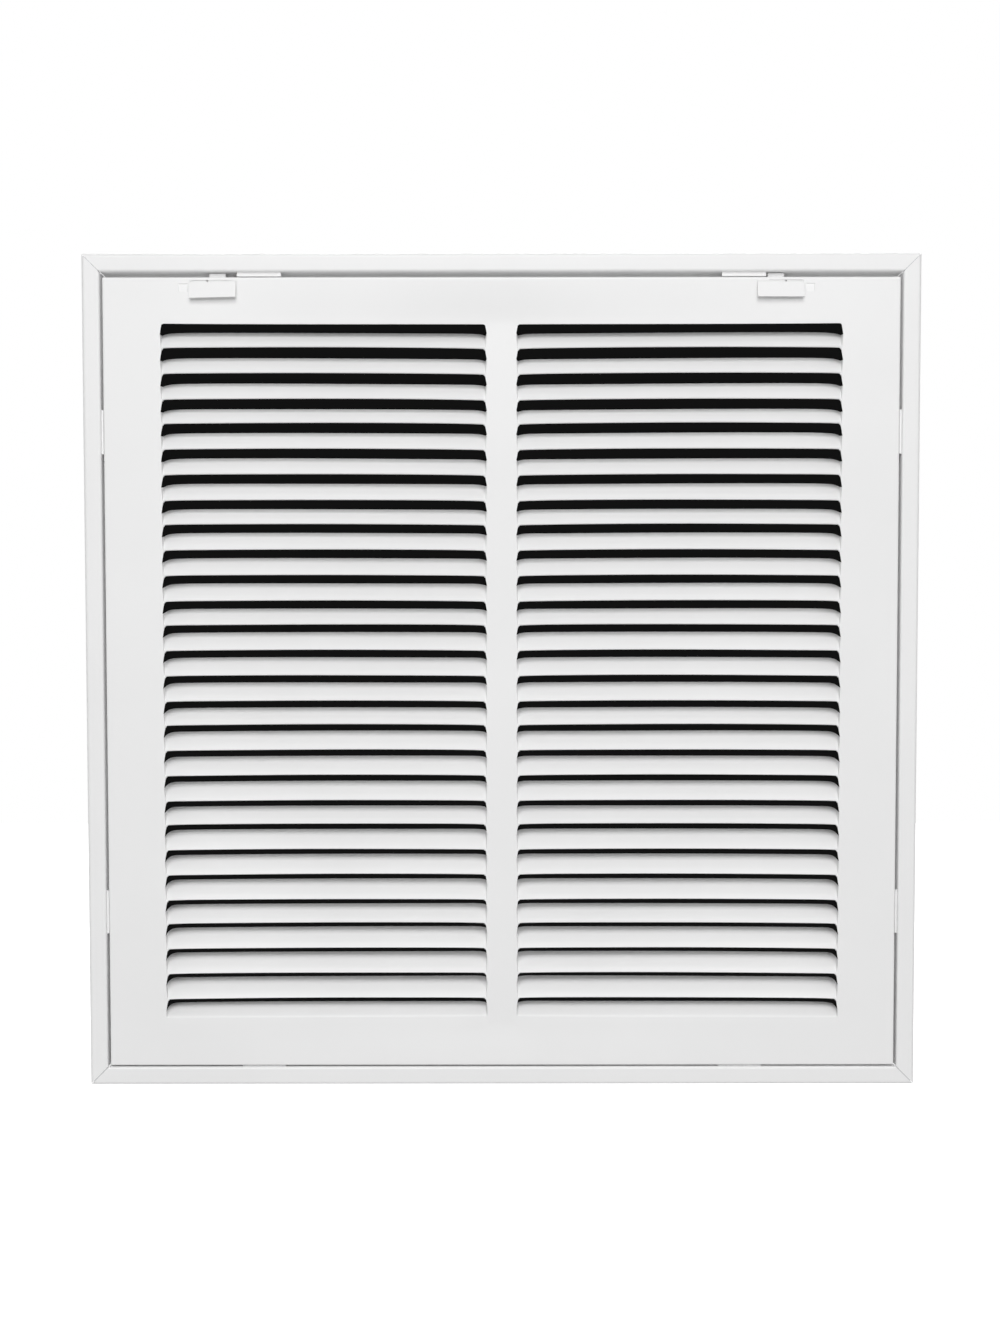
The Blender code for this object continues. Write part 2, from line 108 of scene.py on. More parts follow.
class GrilleFrameSizes(PropertyGroup):
    """Sizes of the mitred frame rails."""

    depth: length("Frame depth", 8.0, "From the room side of the frame to the wall")
    sheet: length("Sheet", 0.7, "Thickness of the frame's sheet steel")
    rim: length("Rim width", 9.2, "Width of the flat rim round the door")
    outer_bend: length("Outer bend", 2.0, "Radius of the bend at the outer edge")
    inner_bend: length("Inner bend", 1.3, "Radius of the bends at the inner edge and at the collar")
    mitre_gap: length("Mitre gap", 0.3, "Gap between two rails at a corner")
    collar_inset: length("Collar inset", 34.5, "From the outer edge to the inside of the duct collar")
    stop: length("Filter stop", 8.0, "Width of the lip behind the filter")
    tab_length: length("Tab length", 22.2, "Length of the tabs pressed out of the inner wall")
    tab_from_corner: length("Tab from corner", 89.1, "From the outer edge to the middle of a tab")
    tab_setback: length("Tab setback", 1.6, "From the room side of the frame to the tabs")
    tab_reach: length("Tab reach", 2.1, "How far the catch and hinge tabs reach towards the door")
    side_tab_reach: length("Side tab reach", 0.95, "How far the side tabs reach towards the door")
    screw_hole: length("Screw hole", 5.2, "Diameter of the fixing holes in the ledge")
    screw_from_corner: length("Screw from corner", 101.0, "From the outer edge to a fixing hole")


class GrilleDoorSizes(PropertyGroup):
    """Sizes of the louvred door."""

    sheet: length("Sheet", 0.7, "Thickness of the door's sheet steel")
    bend: length("Bend", 1.0, "Radius of the bend round the door")
    flange: length("Flange", 7.0, "Depth of the return flange")
    pitch: length("Louvre pitch", 12.7, "From one louvre to the next")
    rows: IntProperty(name="Louvre rows", description="Louvres in each bank", default=28, min=1, max=60)
    top_panel: length("Top panel", 23.4, "Plain sheet above the first slot")
    side_panel: length("Side panel", 28.85, "Plain sheet beside a bank of louvres")
    mullion: length("Mullion", 14.9, "Plain sheet between the two banks")
    louvre_depth: length("Louvre depth", 9.1, "How far a louvre reaches behind the face beside its outer end")
    depth_gain: length("Depth gain", 1.1, "How much further it reaches towards the mullion")
    louvre_rise: length("Louvre rise", 9.6, "Height of a louvre's upper edge above its cut")
    louvre_root: length("Louvre root", 7.2, "Height of a louvre's outer end where it leaves the face")
    outer_droop: length("Outer droop", 3.3, "How steeply a louvre's upper edge droops at its outer end")
    inner_droop: length("Inner droop", 1.35, "How far a louvre's upper edge droops at its inner end")
    undercut: length("Undercut", 1.4, "How far a louvre's outer end is drawn out behind the face")
    outer_dimple: length("Outer dimple", 0.9, "How much deeper a louvre is just inside its outer end")
    inner_dimple: length("Inner dimple", 1.3, "How much deeper a louvre is at its inner end")
    bow: length("Bow", 0.3, "How far a louvre's upper edge bows upwards between its ends")
    lip_bow: length("Lip bow", 0.45, "How far its lip bows upwards between its ends")
    first_sag: length("First sag", 0.2, "How far the highest slot's upper edge sags between its ends")
    louvre_lift: length("Louvre lift", 1.22, "How far the lower lip is drawn up beside the ends")
    outer_ramp: length("Outer ramp", 1.8, "Length over which a louvre forms at its outer end")
    inner_ramp: length("Inner ramp", 1.5, "Length over which a louvre forms at its inner end")
    slot_corner: length("Slot corner", 1.3, "Radius of a slot's two upper corners")
    slot_lean: length("Slot lean", 0.6, "How far a slot's end leans outwards at its foot")
    hollow: length("Hollow", 2.0, "How far the pressed sheet draws in towards the mullion")
    mullion_hollow: length("Mullion hollow", 0.8, "How much further the mullion itself draws in")
    waviness: length("Waviness", 0.2, "How far the lips stray from straight, as drawn sheet does")


class GrilleLatchSizes(PropertyGroup):
    """Sizes of the thumb latches."""

    sheet: length("Sheet", 0.7, "Thickness of the latch's sheet steel")
    gap: length("Gap", 0.3, "Gap between the thumb plate and the door")
    below_top: length("Below the top", 1.9, "From the door's top edge to the top of the latch")
    height: length("Height", 8.4, "Height of the thumb plate")
    lip: length("Lip", 7.2, "Height over which the lip flares")
    flare: length("Flare", 1.7, "How far the lip stands out")
    left_droop: length("Left droop", 0.6, "How much lower the left latch's lip hangs at its outboard end")
    web_inset: length("Web inset", 1.2, "From the outboard edge to the web through the face")
    web: length("Web", 7.6, "Width of the web through the face")
    relief: length("Relief", 0.7, "Notch beside a fold")
    back: length("Back strip", 4.2, "From the top of the latch to the foot of its back strip")
    finger: length("Finger", 8.2, "Width of the locking finger")
    finger_rise: length("Finger rise", 2.3, "Height of the locking finger above the door")
    left_travel: length("Left travel", 12.8, "Travel of the left latch")
    right_travel: length("Right travel", 8.0, "Travel of the right latch")
    mark_width: length("Mark width", 4.4, "Width of the pressed mark beside a latch")
    mark_height: length("Mark height", 4.2, "Height of the pressed mark")
    mark_depth: length("Mark depth", 0.45, "Depth of the pressed mark at its top")


class GrilleFinishes(PropertyGroup):
    """Colours of the finishes."""

    frame_white: colour("Frame", (0.88, 0.88, 0.88), "Powder coat of the frame rails")
    door_white: colour("Door", (0.88, 0.88, 0.88), "Powder coat of the door")
    latch_white: colour("Latches", (0.82, 0.82, 0.82), "Powder coat of the thumb latches")
    key_zinc: colour("Corner keys", (0.56, 0.57, 0.58), "Zinc plate of the corner keys")
    # painted shade: the near-black of the shaded slots, given to the sheet behind the louvres
    painted_shade: colour("Dark card", (0.0061, 0.0061, 0.0061), "Card behind the louvres")
    floor: colour("Floor", (0.80, 0.80, 0.80), "Studio floor")


class GrilleStudio(PropertyGroup):
    """Camera and light."""

    lens: FloatProperty(name="Lens", description="Focal length", default=40.54, min=10.0, unit="CAMERA")
    distance: length("Camera distance", 760.0, "From the frame's face to the camera")
    camera_height: length("Camera height", 34.1, "Height of the camera above the middle of the grille")
    fill: FloatProperty(
        name="Fill", description="Strength of the even light from all sides", default=0.18, min=0.0
    )
    # share of light that the painted shade behind the louvres lets through
    painted_shade_lets_light: FloatProperty(
        name="Card light",
        description="Share of light that the dark card lets through",
        default=0.5,
        min=0.0,
        max=1.0,
        subtype="FACTOR",
    )
    key: power("Key", 136.0, "Power of the high lamp in front")
    front: power("Front", 3.9, "Power of the near lamp above the camera")
    back: power("Back", 110.0, "Power of the lamp behind")


# Shared steps


def verts_of(made):
    return [part for part in made["geom"] if isinstance(part, bmesh.types.BMVert)]


def in_order(parts):
    """Each part once, in the order met."""
    return list(dict.fromkeys(parts))


def draw_out(bm, edges, way):
    """Extrudes open edges and moves the new ones."""
    made = bmesh.ops.extrude_edge_only(bm, edges=edges)
    bmesh.ops.translate(bm, vec=way, verts=verts_of(made))
    return [part for part in made["geom"] if isinstance(part, bmesh.types.BMEdge)]


def round_edges(bm, edges, radius, segments):
    return bmesh.ops.bevel(
        bm,
        geom=edges,
        affect="EDGES",
        offset=radius,
        offset_type="OFFSET",
        segments=segments,
        profile=0.5,
        material=-1,
        clamp_overlap=True,
    )


def faces_inside(bm, low, high):
    """Faces whose middle lies in a box."""
    found = []
    for face in bm.faces:
        middle = face.calc_center_median()
        if all(a < c < b for a, b, c in zip(low, high, middle)):
            found.append(face)
    return found


def open_edges(bm, low, high):
    """Open edges with both ends in a box."""
    found = []
    for edge in bm.edges:
        if edge.is_boundary and all(a <= c <= b for v in edge.verts for a, b, c in zip(low, high, v.co)):
            found.append(edge)
    return found


def score(bm, low, high, places, axis):
    """Cuts the faces inside a box with planes across one axis, without parting them."""
    normal = Vector((axis == "X", axis == "Y", axis == "Z"))
    for place in places:
        faces = faces_inside(bm, low, high)
        edges = in_order(edge for face in faces for edge in face.edges)
        verts = in_order(vert for face in faces for vert in face.verts)
        bmesh.ops.bisect_plane(
            bm, geom=[*faces, *edges, *verts], dist=0.001 * MM, plane_co=normal * place, plane_no=normal
        )


def face_outwards(bm, way):
    """Makes the faces agree, with the sheet's plain side looking the given way."""
    bmesh.ops.recalc_face_normals(bm, faces=bm.faces)
    if sum(face.normal.dot(way) * face.calc_area() for face in bm.faces) < 0:
        bmesh.ops.reverse_faces(bm, faces=bm.faces)


def finish_piece(name, bm, material, body, node):
    """Turns a bmesh into a piece that rides on its body and stands for its solid."""
    mesh = bpy.data.meshes.new(name)
    bm.to_mesh(mesh)
    bm.free()
    mesh.materials.append(material)
    mesh.shade_smooth()
    piece = bpy.data.objects.new(name, mesh)
    bpy.context.scene.collection.objects.link(piece)
    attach(piece, body)
    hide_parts(node)
    return piece


def add_thickness(piece, sheet, edge_round):
    """Gives a sheet its thickness behind its room side, and rounds the cut edges as paint does."""
    thickness = piece.modifiers.new("Sheet", "SOLIDIFY")
    thickness.thickness = sheet
    thickness.offset = -1.0
    thickness.use_even_offset = True
    soften_edges(piece, edge_round)


def soften_edges(piece, edge_round):
    rounding = piece.modifiers.new("Painted edges", "BEVEL")
    rounding.width = edge_round
    rounding.segments = 2
    rounding.limit_method = "ANGLE"
    rounding.angle_limit = math.radians(50)
    rounding.use_clamp_overlap = True
    rounding.harden_normals = False
    shading = piece.modifiers.new("Even shading", "WEIGHTED_NORMAL")
    shading.keep_sharp = True


# Finishes


def powder_coat(name, base, roughness):
    """White powder coat: a faint mottle, and the fine orange peel of baked paint."""
    material = bpy.data.materials.new(name)
    material.use_nodes = True
    nodes = material.node_tree.nodes
    links = material.node_tree.links
    shader = nodes["Principled BSDF"]
    shader.inputs["Metallic"].default_value = 0.0
    shader.inputs["IOR"].default_value = 1.5

    place = nodes.new("ShaderNodeTexCoord")
    mottle = nodes.new("ShaderNodeTexNoise")
    mottle.inputs["Scale"].default_value = 14.0
    mottle.inputs["Detail"].default_value = 3.0
    links.new(place.outputs["Object"], mottle.inputs["Vector"])
    tint = nodes.new("ShaderNodeValToRGB")
    tint.color_ramp.elements[0].position = 0.3
    tint.color_ramp.elements[0].color = (*[c * 0.985 for c in base], 1.0)
    tint.color_ramp.elements[1].position = 0.7
    tint.color_ramp.elements[1].color = (*[min(c * 1.012, 1.0) for c in base], 1.0)
    links.new(mottle.outputs["Fac"], tint.inputs["Fac"])
    links.new(tint.outputs["Color"], shader.inputs["Base Color"])

    gloss = nodes.new("ShaderNodeMapRange")
    gloss.inputs["To Min"].default_value = roughness - 0.04
    gloss.inputs["To Max"].default_value = roughness + 0.04
    links.new(mottle.outputs["Fac"], gloss.inputs["Value"])
    links.new(gloss.outputs["Result"], shader.inputs["Roughness"])

    peel = nodes.new("ShaderNodeTexNoise")
    peel.inputs["Scale"].default_value = 1100.0
    peel.inputs["Detail"].default_value = 2.0
    links.new(place.outputs["Object"], peel.inputs["Vector"])
    bump = nodes.new("ShaderNodeBump")
    bump.inputs["Strength"].default_value = 0.08
    bump.inputs["Distance"].default_value = 0.06 * MM
    links.new(peel.outputs["Fac"], bump.inputs["Height"])
    links.new(bump.outputs["Normal"], shader.inputs["Normal"])
    return material


def zinc_plate(name, base):
    """Zinc plate with a fine grain in its gloss and dull patches."""
    material = bpy.data.materials.new(name)
    material.use_nodes = True
    nodes = material.node_tree.nodes
    links = material.node_tree.links
    shader = nodes["Principled BSDF"]
    shader.inputs["Metallic"].default_value = 1.0

    place = nodes.new("ShaderNodeTexCoord")
    patches = nodes.new("ShaderNodeTexVoronoi")
    patches.inputs["Scale"].default_value = 260.0
    links.new(place.outputs["Object"], patches.inputs["Vector"])
    tint = nodes.new("ShaderNodeMix")
    tint.data_type = "RGBA"
    tint.inputs["A"].default_value = (*[c * 0.8 for c in base], 1.0)
    tint.inputs["B"].default_value = (*base, 1.0)
    links.new(patches.outputs["Distance"], tint.inputs["Factor"])
    links.new(tint.outputs["Result"], shader.inputs["Base Color"])

    grain = nodes.new("ShaderNodeTexNoise")
    grain.inputs["Scale"].default_value = 700.0
    links.new(place.outputs["Object"], grain.inputs["Vector"])
    gloss = nodes.new("ShaderNodeMapRange")
    gloss.inputs["To Min"].default_value = 0.3
    gloss.inputs["To Max"].default_value = 0.5
    links.new(grain.outputs["Fac"], gloss.inputs["Value"])
    links.new(gloss.outputs["Result"], shader.inputs["Roughness"])
    return material


# Frame rails


def folded_rail(sizes):
    """The top rail as an open sheet: its outline, drawn along X and folded."""
    path = [
        (HALF, FACE_Y + sizes.depth),
        (HALF, FACE_Y),
        (HALF - sizes.rim, FACE_Y),
        (HALF - sizes.rim, FACE_Y + sizes.depth - sizes.sheet),
        (HALF - sizes.collar_inset, FACE_Y + sizes.depth - sizes.sheet),
        (HALF - sizes.collar_inset, BACK_Y - sizes.sheet),
        (HALF - sizes.collar_inset - sizes.stop, BACK_Y - sizes.sheet),
    ]
    bm = bmesh.new()
    corners = [bm.verts.new((-HALF, y, z)) for z, y in path]
    outline = [bm.edges.new(pair) for pair in zip(corners, corners[1:])]
    draw_out(bm, outline, (2 * HALF, 0.0, 0.0))
    face_outwards(bm, Vector((0.0, -1.0, 0.0)))
    radii = [sizes.outer_bend, sizes.inner_bend, sizes.inner_bend, sizes.inner_bend, sizes.inner_bend]
    for (z, y), radius in zip(path[1:-1], radii):
        fold = [e for e in bm.edges if all(abs(v.co.y - y) + abs(v.co.z - z) < 0.01 * MM for v in e.verts)]
        round_edges(bm, fold, radius, 6)
    return bm


def lance_tab(bm, sizes, middle, reach):
    """Cuts three sides of a tab in the inner wall and folds it out, towards the door."""
    wall_z = HALF - sizes.rim
    front = FACE_Y + sizes.tab_setback
    ends = (middle - sizes.tab_length / 2, middle + sizes.tab_length / 2)
    low = (-HALF, FACE_Y + sizes.inner_bend, wall_z - 0.1 * MM)
    high = (HALF, FACE_Y + sizes.depth - sizes.inner_bend, wall_z + 0.1 * MM)
    score(bm, low, high, ends, "X")
    low = (ends[0], low[1], low[2])
    high = (ends[1], high[1], high[2])
    score(bm, low, high, (front, front + sizes.tab_reach), "Y")
    window = faces_inside(bm, (ends[0], front, low[2]), (ends[1], front + sizes.tab_reach, high[2]))
    bmesh.ops.delete(bm, geom=window, context="FACES")
    root = []
    for edge in bm.edges:
        place = (edge.verts[0].co + edge.verts[1].co) / 2
        on_root = abs(place.y - front) < 0.01 * MM and ends[0] < place.x < ends[1]
        if edge.is_boundary and on_root:
            root.append(edge)
    draw_out(bm, root, (0.0, 0.0, -reach))
    round_edges(bm, root, TAB_FOLD, 3)


def drill_ledge(bm, sizes, middle):
    """A round hole in the ledge, behind the door."""
    ledge_z = HALF - (sizes.rim + sizes.collar_inset - sizes.sheet) / 2
    ledge_y = FACE_Y + sizes.depth - sizes.sheet
    reach = sizes.screw_hole
    low = (-HALF, ledge_y - 0.1 * MM, HALF - sizes.collar_inset)
    high = (HALF, ledge_y + 0.1 * MM, HALF - sizes.rim)
    score(bm, low, high, (middle - reach, middle + reach), "X")
    square = faces_inside(bm, (middle - reach, low[1], low[2]), (middle + reach, high[1], high[2]))
    bmesh.ops.delete(bm, geom=square, context="FACES")
    rim = open_edges(bm, (middle - 1.1 * reach, low[1], low[2]), (middle + 1.1 * reach, high[1], high[2]))
    centre = Vector((middle, ledge_y, ledge_z))
    hole = bmesh.ops.create_circle(
        bm, segments=24, radius=sizes.screw_hole / 2,
        matrix=Matrix.Translation(centre) @ Matrix.Rotation(math.pi / 2, 4, "X"),
    )
    ring = in_order(edge for vert in hole["verts"] for edge in vert.link_edges)
    bmesh.ops.triangle_fill(bm, edges=rim + ring, use_beauty=True)


def cut_mitres(bm, gap):
    """Cuts both ends of the solid rail at 45 degrees and closes the cuts."""
    for side in (-1, 1):
        normal = Vector((side, 0.0, -1.0)).normalized()
        cut = bmesh.ops.bisect_plane(
            bm,
            geom=[*bm.verts, *bm.edges, *bm.faces],
            dist=0.001 * MM,
            plane_co=Vector((0.0, 0.0, gap / math.sqrt(2))),
            plane_no=normal,
            clear_outer=True,
        )
        ends = [part for part in cut["geom_cut"] if isinstance(part, bmesh.types.BMEdge)]
        bmesh.ops.edgeloop_fill(bm, edges=ends)


def make_rail(place, turn, sizes, material):
    is_level = place in ("top", "bottom")
    bm = folded_rail(sizes)
    for side in (-1, 1):
        reach = sizes.tab_reach if is_level else sizes.side_tab_reach
        lance_tab(bm, sizes, side * (HALF - sizes.tab_from_corner), reach)
        if is_level:
            drill_ledge(bm, sizes, side * (HALF - sizes.screw_from_corner))
    bmesh.ops.solidify(bm, geom=list(bm.faces), thickness=sizes.sheet)
    cut_mitres(bm, sizes.mitre_gap)
    bmesh.ops.recalc_face_normals(bm, faces=bm.faces)
    bmesh.ops.rotate(bm, cent=(0.0, 0.0, 0.0), matrix=Matrix.Rotation(turn, 3, "Y"), verts=bm.verts)
    rail = finish_piece(f"{place}_rail", bm, material, "frame", f"frame_rail_{place}")
    soften_edges(rail, PAINTED_EDGE)
    return rail


class GRILLE_OT_frame_rails(Operator):
    """Model the four mitred frame rails"""

    bl_idname = "grille.frame_rails"
    bl_label = "Frame Rails"

    def execute(self, context):
        sizes = context.scene.grille_frame
        paint = powder_coat("frame_powder_coat", context.scene.grille_finish.frame_white, 0.42)
        for quarter, place in enumerate(("top", "right", "bottom", "left")):
            make_rail(place, quarter * math.pi / 2, sizes, paint)
        return {"FINISHED"}


class GRILLE_OT_corner_keys(Operator):
    """Finish the four corner keys inside the frame"""

    bl_idname = "grille.corner_keys"
    bl_label = "Corner Keys"

    def execute(self, context):
        zinc = zinc_plate("key_zinc_plate", context.scene.grille_finish.key_zinc)
        for corner in ("top_left", "top_right", "bottom_right", "bottom_left"):
            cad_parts[f"corner_key_{corner}"].material_slots[0].material = zinc
        return {"FINISHED"}


# Louvred door

SLAT_STEPS = 8
MARGIN_ROWS = 5  # grid rows in the plain sheet below the louvres, and above them
EDGE_MARGIN = 2.5 * MM  # strip along the door's edges that stays flat
BEND_IN = 0.27  # where a slat's section bends, as a share of its depth
BEND_UP = 0.54  # and as a share of its height
DIP = 0.35 * MM  # how far the lip dips beside each end
LAST_LIP = 3.2 * MM  # the lowest louvre's lip above its cut
LAST_DEPTH = 8.9 * MM  # and how deep that louvre is

# The press makes four slots at a stroke, a little wider apart than the feed between strokes
STROKE = (0.33 * MM, 0.1 * MM, -0.05 * MM, -0.3 * MM)


def formed(part):
    """How far the press has formed a louvre at this part of its ramp, from 0 to 1."""
    return math.sqrt(1.0 - (1.0 - min(max(part, 0.0), 1.0)) ** 2)


def bowed(share, lean=0.75):
    """How far an edge bows at this share of a louvre's length, from 0 at the ends to 1."""
    return math.sin(math.pi * share**lean)


def fading(distance, reach):
    """An effect of a louvre's end that fades away from it."""
    return math.exp(-distance / reach)


def door_columns(sizes):
    """The grid's columns from the door's left edge to its middle.

    Each is (x, distance from the louvre's outer tip, formed part). The distance is None in the plain margins.
    """
    outer_tip = -DOOR_SIDE + sizes.side_panel
    inner_tip = -sizes.mullion / 2
    width = inner_tip - outer_tip
    corner = [sizes.slot_corner * (1 - math.cos(math.pi / 2 * step / 5)) for step in range(6)]
    near_tip = [0.0] + [sizes.slot_lean + place for place in corner[1:]]
    outer = near_tip + [3.0 * MM, 4.0 * MM, 5.5 * MM, 8.0 * MM, 12.0 * MM]
    inner = near_tip + [4.0 * MM, 7.0 * MM]
    middle = width - outer[-1] - inner[-1]
    columns = [(-DOOR_SIDE, None, 0.0), (-DOOR_SIDE + EDGE_MARGIN, None, 0.0)]
    columns += [(outer_tip - away * MM, None, 0.0) for away in (9.0, 5.0, 2.5, 1.0)]
    columns += [(outer_tip + s, s, formed(s / sizes.outer_ramp)) for s in outer]
    for step in range(1, 16):
        s = outer[-1] + middle * step / 16
        columns.append((outer_tip + s, s, 1.0))
    columns += [(inner_tip - s, width - s, formed(s / sizes.inner_ramp)) for s in reversed(inner)]
    columns += [(inner_tip + away * MM, None, 0.0) for away in (1.0, 2.5)]
    columns.append((0.0, None, 0.0))
    return columns


def slat_profile(step, part, depth, low, high):
    """(depth, height) of a louvre's room side: an arc from its lip at the face up to its inner edge."""
    along = step / SLAT_STEPS
    bend_depth = BEND_IN * depth
    bend_height = low + BEND_UP * (high - low)
    inwards = 2 * along * (1 - along) * bend_depth + along**2 * depth
    curved = (1 - along) ** 2 * low + 2 * along * (1 - along) * bend_height + along**2 * high
    straight = low + along * (high - low)
    return inwards, curved * part + straight * (1 - part)


def slot_corner_drop(sizes, from_tip):
    """How far a slot's rounded upper corner lies below its straight edge."""
    across = min(max(from_tip - sizes.slot_lean, 0.0), sizes.slot_corner)
    along = 1.0 - across / sizes.slot_corner
    return sizes.slot_corner * (1.0 - math.sqrt(max(1.0 - along * along, 0.0)))


def louvre_point(sizes, column, row, step):
    """(x, depth, z) of the grid point in a column, on a step of a louvre. Row 0 is the highest louvre."""
    x, distance, part = column
    field_top = DOOR_TOP - sizes.top_panel
    cut = field_top - (row + 1) * sizes.pitch
    root = cut + sizes.louvre_root
    if distance is None:
        return x, 0.0, cut + (root - cut) * step / SLAT_STEPS
    cut += STROKE[(row + 1) % 4]
    root += STROKE[row % 4]
    width = DOOR_SIDE - sizes.side_panel - sizes.mullion / 2
    from_tip = min(distance, width - distance)
    side = 1 if distance < width / 2 else -1
    lean = side * sizes.slot_lean if from_tip == 0.0 else 0.0
    drop = slot_corner_drop(sizes, from_tip)
    share = distance / width
    from_inner = width - distance
    dip = DIP * fading(distance, 3.2 * MM) + DIP * fading(from_inner, 6 * MM)
    low = cut - drop + (sizes.louvre_lift - dip) * part + sizes.lip_bow * bowed(share, 1.0)
    depth = sizes.louvre_depth + sizes.depth_gain * min(1.5 * share, 1.0)
    bulge = distance / (3.6 * MM)
    depth += sizes.outer_dimple * bulge**2 * math.exp(2 * (1 - bulge))
    depth += sizes.inner_dimple * fading(from_inner, 2 * MM)
    depth *= part
    if row == sizes.rows - 1:
        low, lean, depth = cut + LAST_LIP, 0.0, LAST_DEPTH * part
    droop = sizes.outer_droop * fading(distance, 0.8 * MM) + 0.4 * MM * fading(distance, 5 * MM)
    droop = min(droop, sizes.louvre_rise - sizes.louvre_root)
    droop += sizes.inner_droop * fading(from_inner, 1.9 * MM)
    high = root + sizes.louvre_rise - sizes.louvre_root - droop + sizes.bow * bowed(share)
    inwards, z = slat_profile(step, part, depth, low, high)
    drawn_out = 0.0
    if distance > 0.0:
        past_lean = max(distance - sizes.slot_lean, 0.0)
        drawn_out = sizes.undercut * fading(past_lean, 1.0 * MM) * inwards / (9 * MM)
    return x + lean * (1 - step / SLAT_STEPS) - drawn_out, inwards, z


def door_rows(sizes):
    """The grid's rows from the bottom up, each a function of the column that gives (x, depth, z)."""
    field_top = DOOR_TOP - sizes.top_panel
    lowest = field_top - sizes.rows * sizes.pitch
    margin = [DOOR_BOTTOM, DOOR_BOTTOM + EDGE_MARGIN, lowest - 12 * MM, lowest - 7 * MM, lowest - 2 * MM]
    rows = [lambda column, z=z: (column[0], 0.0, z) for z in margin]
    for row in range(sizes.rows - 1, -1, -1):
        for step in range(SLAT_STEPS + 1):
            rows.append(lambda column, row=row, step=step: louvre_point(sizes, column, row, step))

    def first_edge(column):
        x, distance, _ = column
        if distance is None:
            return x, 0.0, field_top
        width = DOOR_SIDE - sizes.side_panel - sizes.mullion / 2
        from_tip = min(distance, width - distance)
        side = 1 if distance < width / 2 else -1
        lean = side * sizes.slot_lean if from_tip == 0.0 else 0.0
        sag = sizes.first_sag * bowed(distance / width)
        return x + lean, 0.0, field_top + STROKE[0] - slot_corner_drop(sizes, from_tip) - sag

    rows.append(first_edge)
    margin = [field_top + 3 * MM, field_top + 8 * MM, field_top + 13 * MM, DOOR_TOP - EDGE_MARGIN, DOOR_TOP]
    rows += [lambda column, z=z: (column[0], 0.0, z) for z in margin]
    return rows


def press_door(sizes):
    """The left half of the door as a flat grid, pressed to shape, with its slots open."""
    columns = door_columns(sizes)
    rows = door_rows(sizes)
    across, up = len(columns) - 1, len(rows) - 1
    bm = bmesh.new()
    bmesh.ops.create_grid(bm, x_segments=across, y_segments=up, size=1.0)
    slots = []
    for face in bm.faces:
        middle = face.calc_center_median()
        column = math.floor((middle.x + 1) / 2 * across)
        row = math.floor((middle.y + 1) / 2 * up)
        in_bank = columns[column][1] is not None and columns[column + 1][1] is not None
        above_slat = (row - MARGIN_ROWS) % (SLAT_STEPS + 1) == SLAT_STEPS
        if in_bank and MARGIN_ROWS <= row < up - MARGIN_ROWS and above_slat:
            slots.append(face)
    for vert in bm.verts:
        column = columns[round((vert.co.x + 1) / 2 * across)]
        x, inwards, z = rows[round((vert.co.y + 1) / 2 * up)](column)
        vert.co = (x, FACE_Y + inwards, z)
    bmesh.ops.delete(bm, geom=slots, context="FACES")
    return bm


def fold_flange(bm, sizes):
    """Folds the return flange back all round, and rounds the fold."""
    rim = []
    for edge in bm.edges:
        on_side = all(abs(abs(v.co.x) - DOOR_SIDE) < 0.01 * MM for v in edge.verts)
        on_top = all(abs(v.co.z - DOOR_TOP) < 0.01 * MM for v in edge.verts)
        on_bottom = all(abs(v.co.z - DOOR_BOTTOM) < 0.01 * MM for v in edge.verts)
        if edge.is_boundary and (on_side or on_top or on_bottom):
            rim.append(edge)
    draw_out(bm, rim, (0.0, sizes.flange, 0.0))
    round_edges(bm, rim, sizes.bend, 5)


def cut_flange(bm, low_x, high_x, low_y, high_y, z):
    """A slot through the top or bottom flange."""
    low = (-DOOR_SIDE, FACE_Y + 1.1 * MM, z - 0.1 * MM)
    high = (DOOR_SIDE, FACE_Y + 8.0 * MM, z + 0.1 * MM)
    score(bm, low, high, (low_x, high_x), "X")
    score(bm, (low_x, low[1], low[2]), (high_x, high[1], high[2]), (low_y, high_y), "Y")
    opening = faces_inside(bm, (low_x, low_y, low[2]), (high_x, high_y, high[2]))
    bmesh.ops.delete(bm, geom=opening, context="FACES")


def press_mark(bm, sizes, low_x, high_x):
    """A small wedge pressed into the face beside a latch, deepest at its top."""
    top = DOOR_TOP - 3.2 * MM
    foot = top - sizes.mark_height
    low = (-DOOR_SIDE, FACE_Y - 0.1 * MM, DOOR_TOP - 20 * MM)
    high = (DOOR_SIDE, FACE_Y + 0.1 * MM, DOOR_TOP - 1.0 * MM)
    score(bm, low, high, (low_x, high_x), "X")
    score(bm, (low_x, low[1], low[2]), (high_x, high[1], high[2]), (foot, top), "Z")
    mark = faces_inside(bm, (low_x, low[1], foot), (high_x, high[1], top))
    bmesh.ops.inset_region(bm, faces=mark, thickness=0.15 * MM, use_even_offset=True)
    for vert in in_order(vert for face in mark for vert in face.verts):
        vert.co.y += sizes.mark_depth * max(0.0, (vert.co.z - foot) / sizes.mark_height)


def cut_face(bm, low_x, high_x, low_z, high_z):
    """A slot through the face."""
    low = (-DOOR_SIDE, FACE_Y - 0.1 * MM, DOOR_TOP - 20 * MM)
    high = (DOOR_SIDE, FACE_Y + 0.1 * MM, DOOR_TOP - 0.9 * MM)
    score(bm, low, high, (low_x, high_x), "X")
    score(bm, (low_x, low[1], low[2]), (high_x, high[1], high[2]), (low_z, high_z), "Z")
    opening = faces_inside(bm, (low_x, low[1], low_z), (high_x, high[1], high_z))
    bmesh.ops.delete(bm, geom=opening, context="FACES")


def eased(part):
    part = min(max(part, 0.0), 1.0)
    return part * part * (3.0 - 2.0 * part)


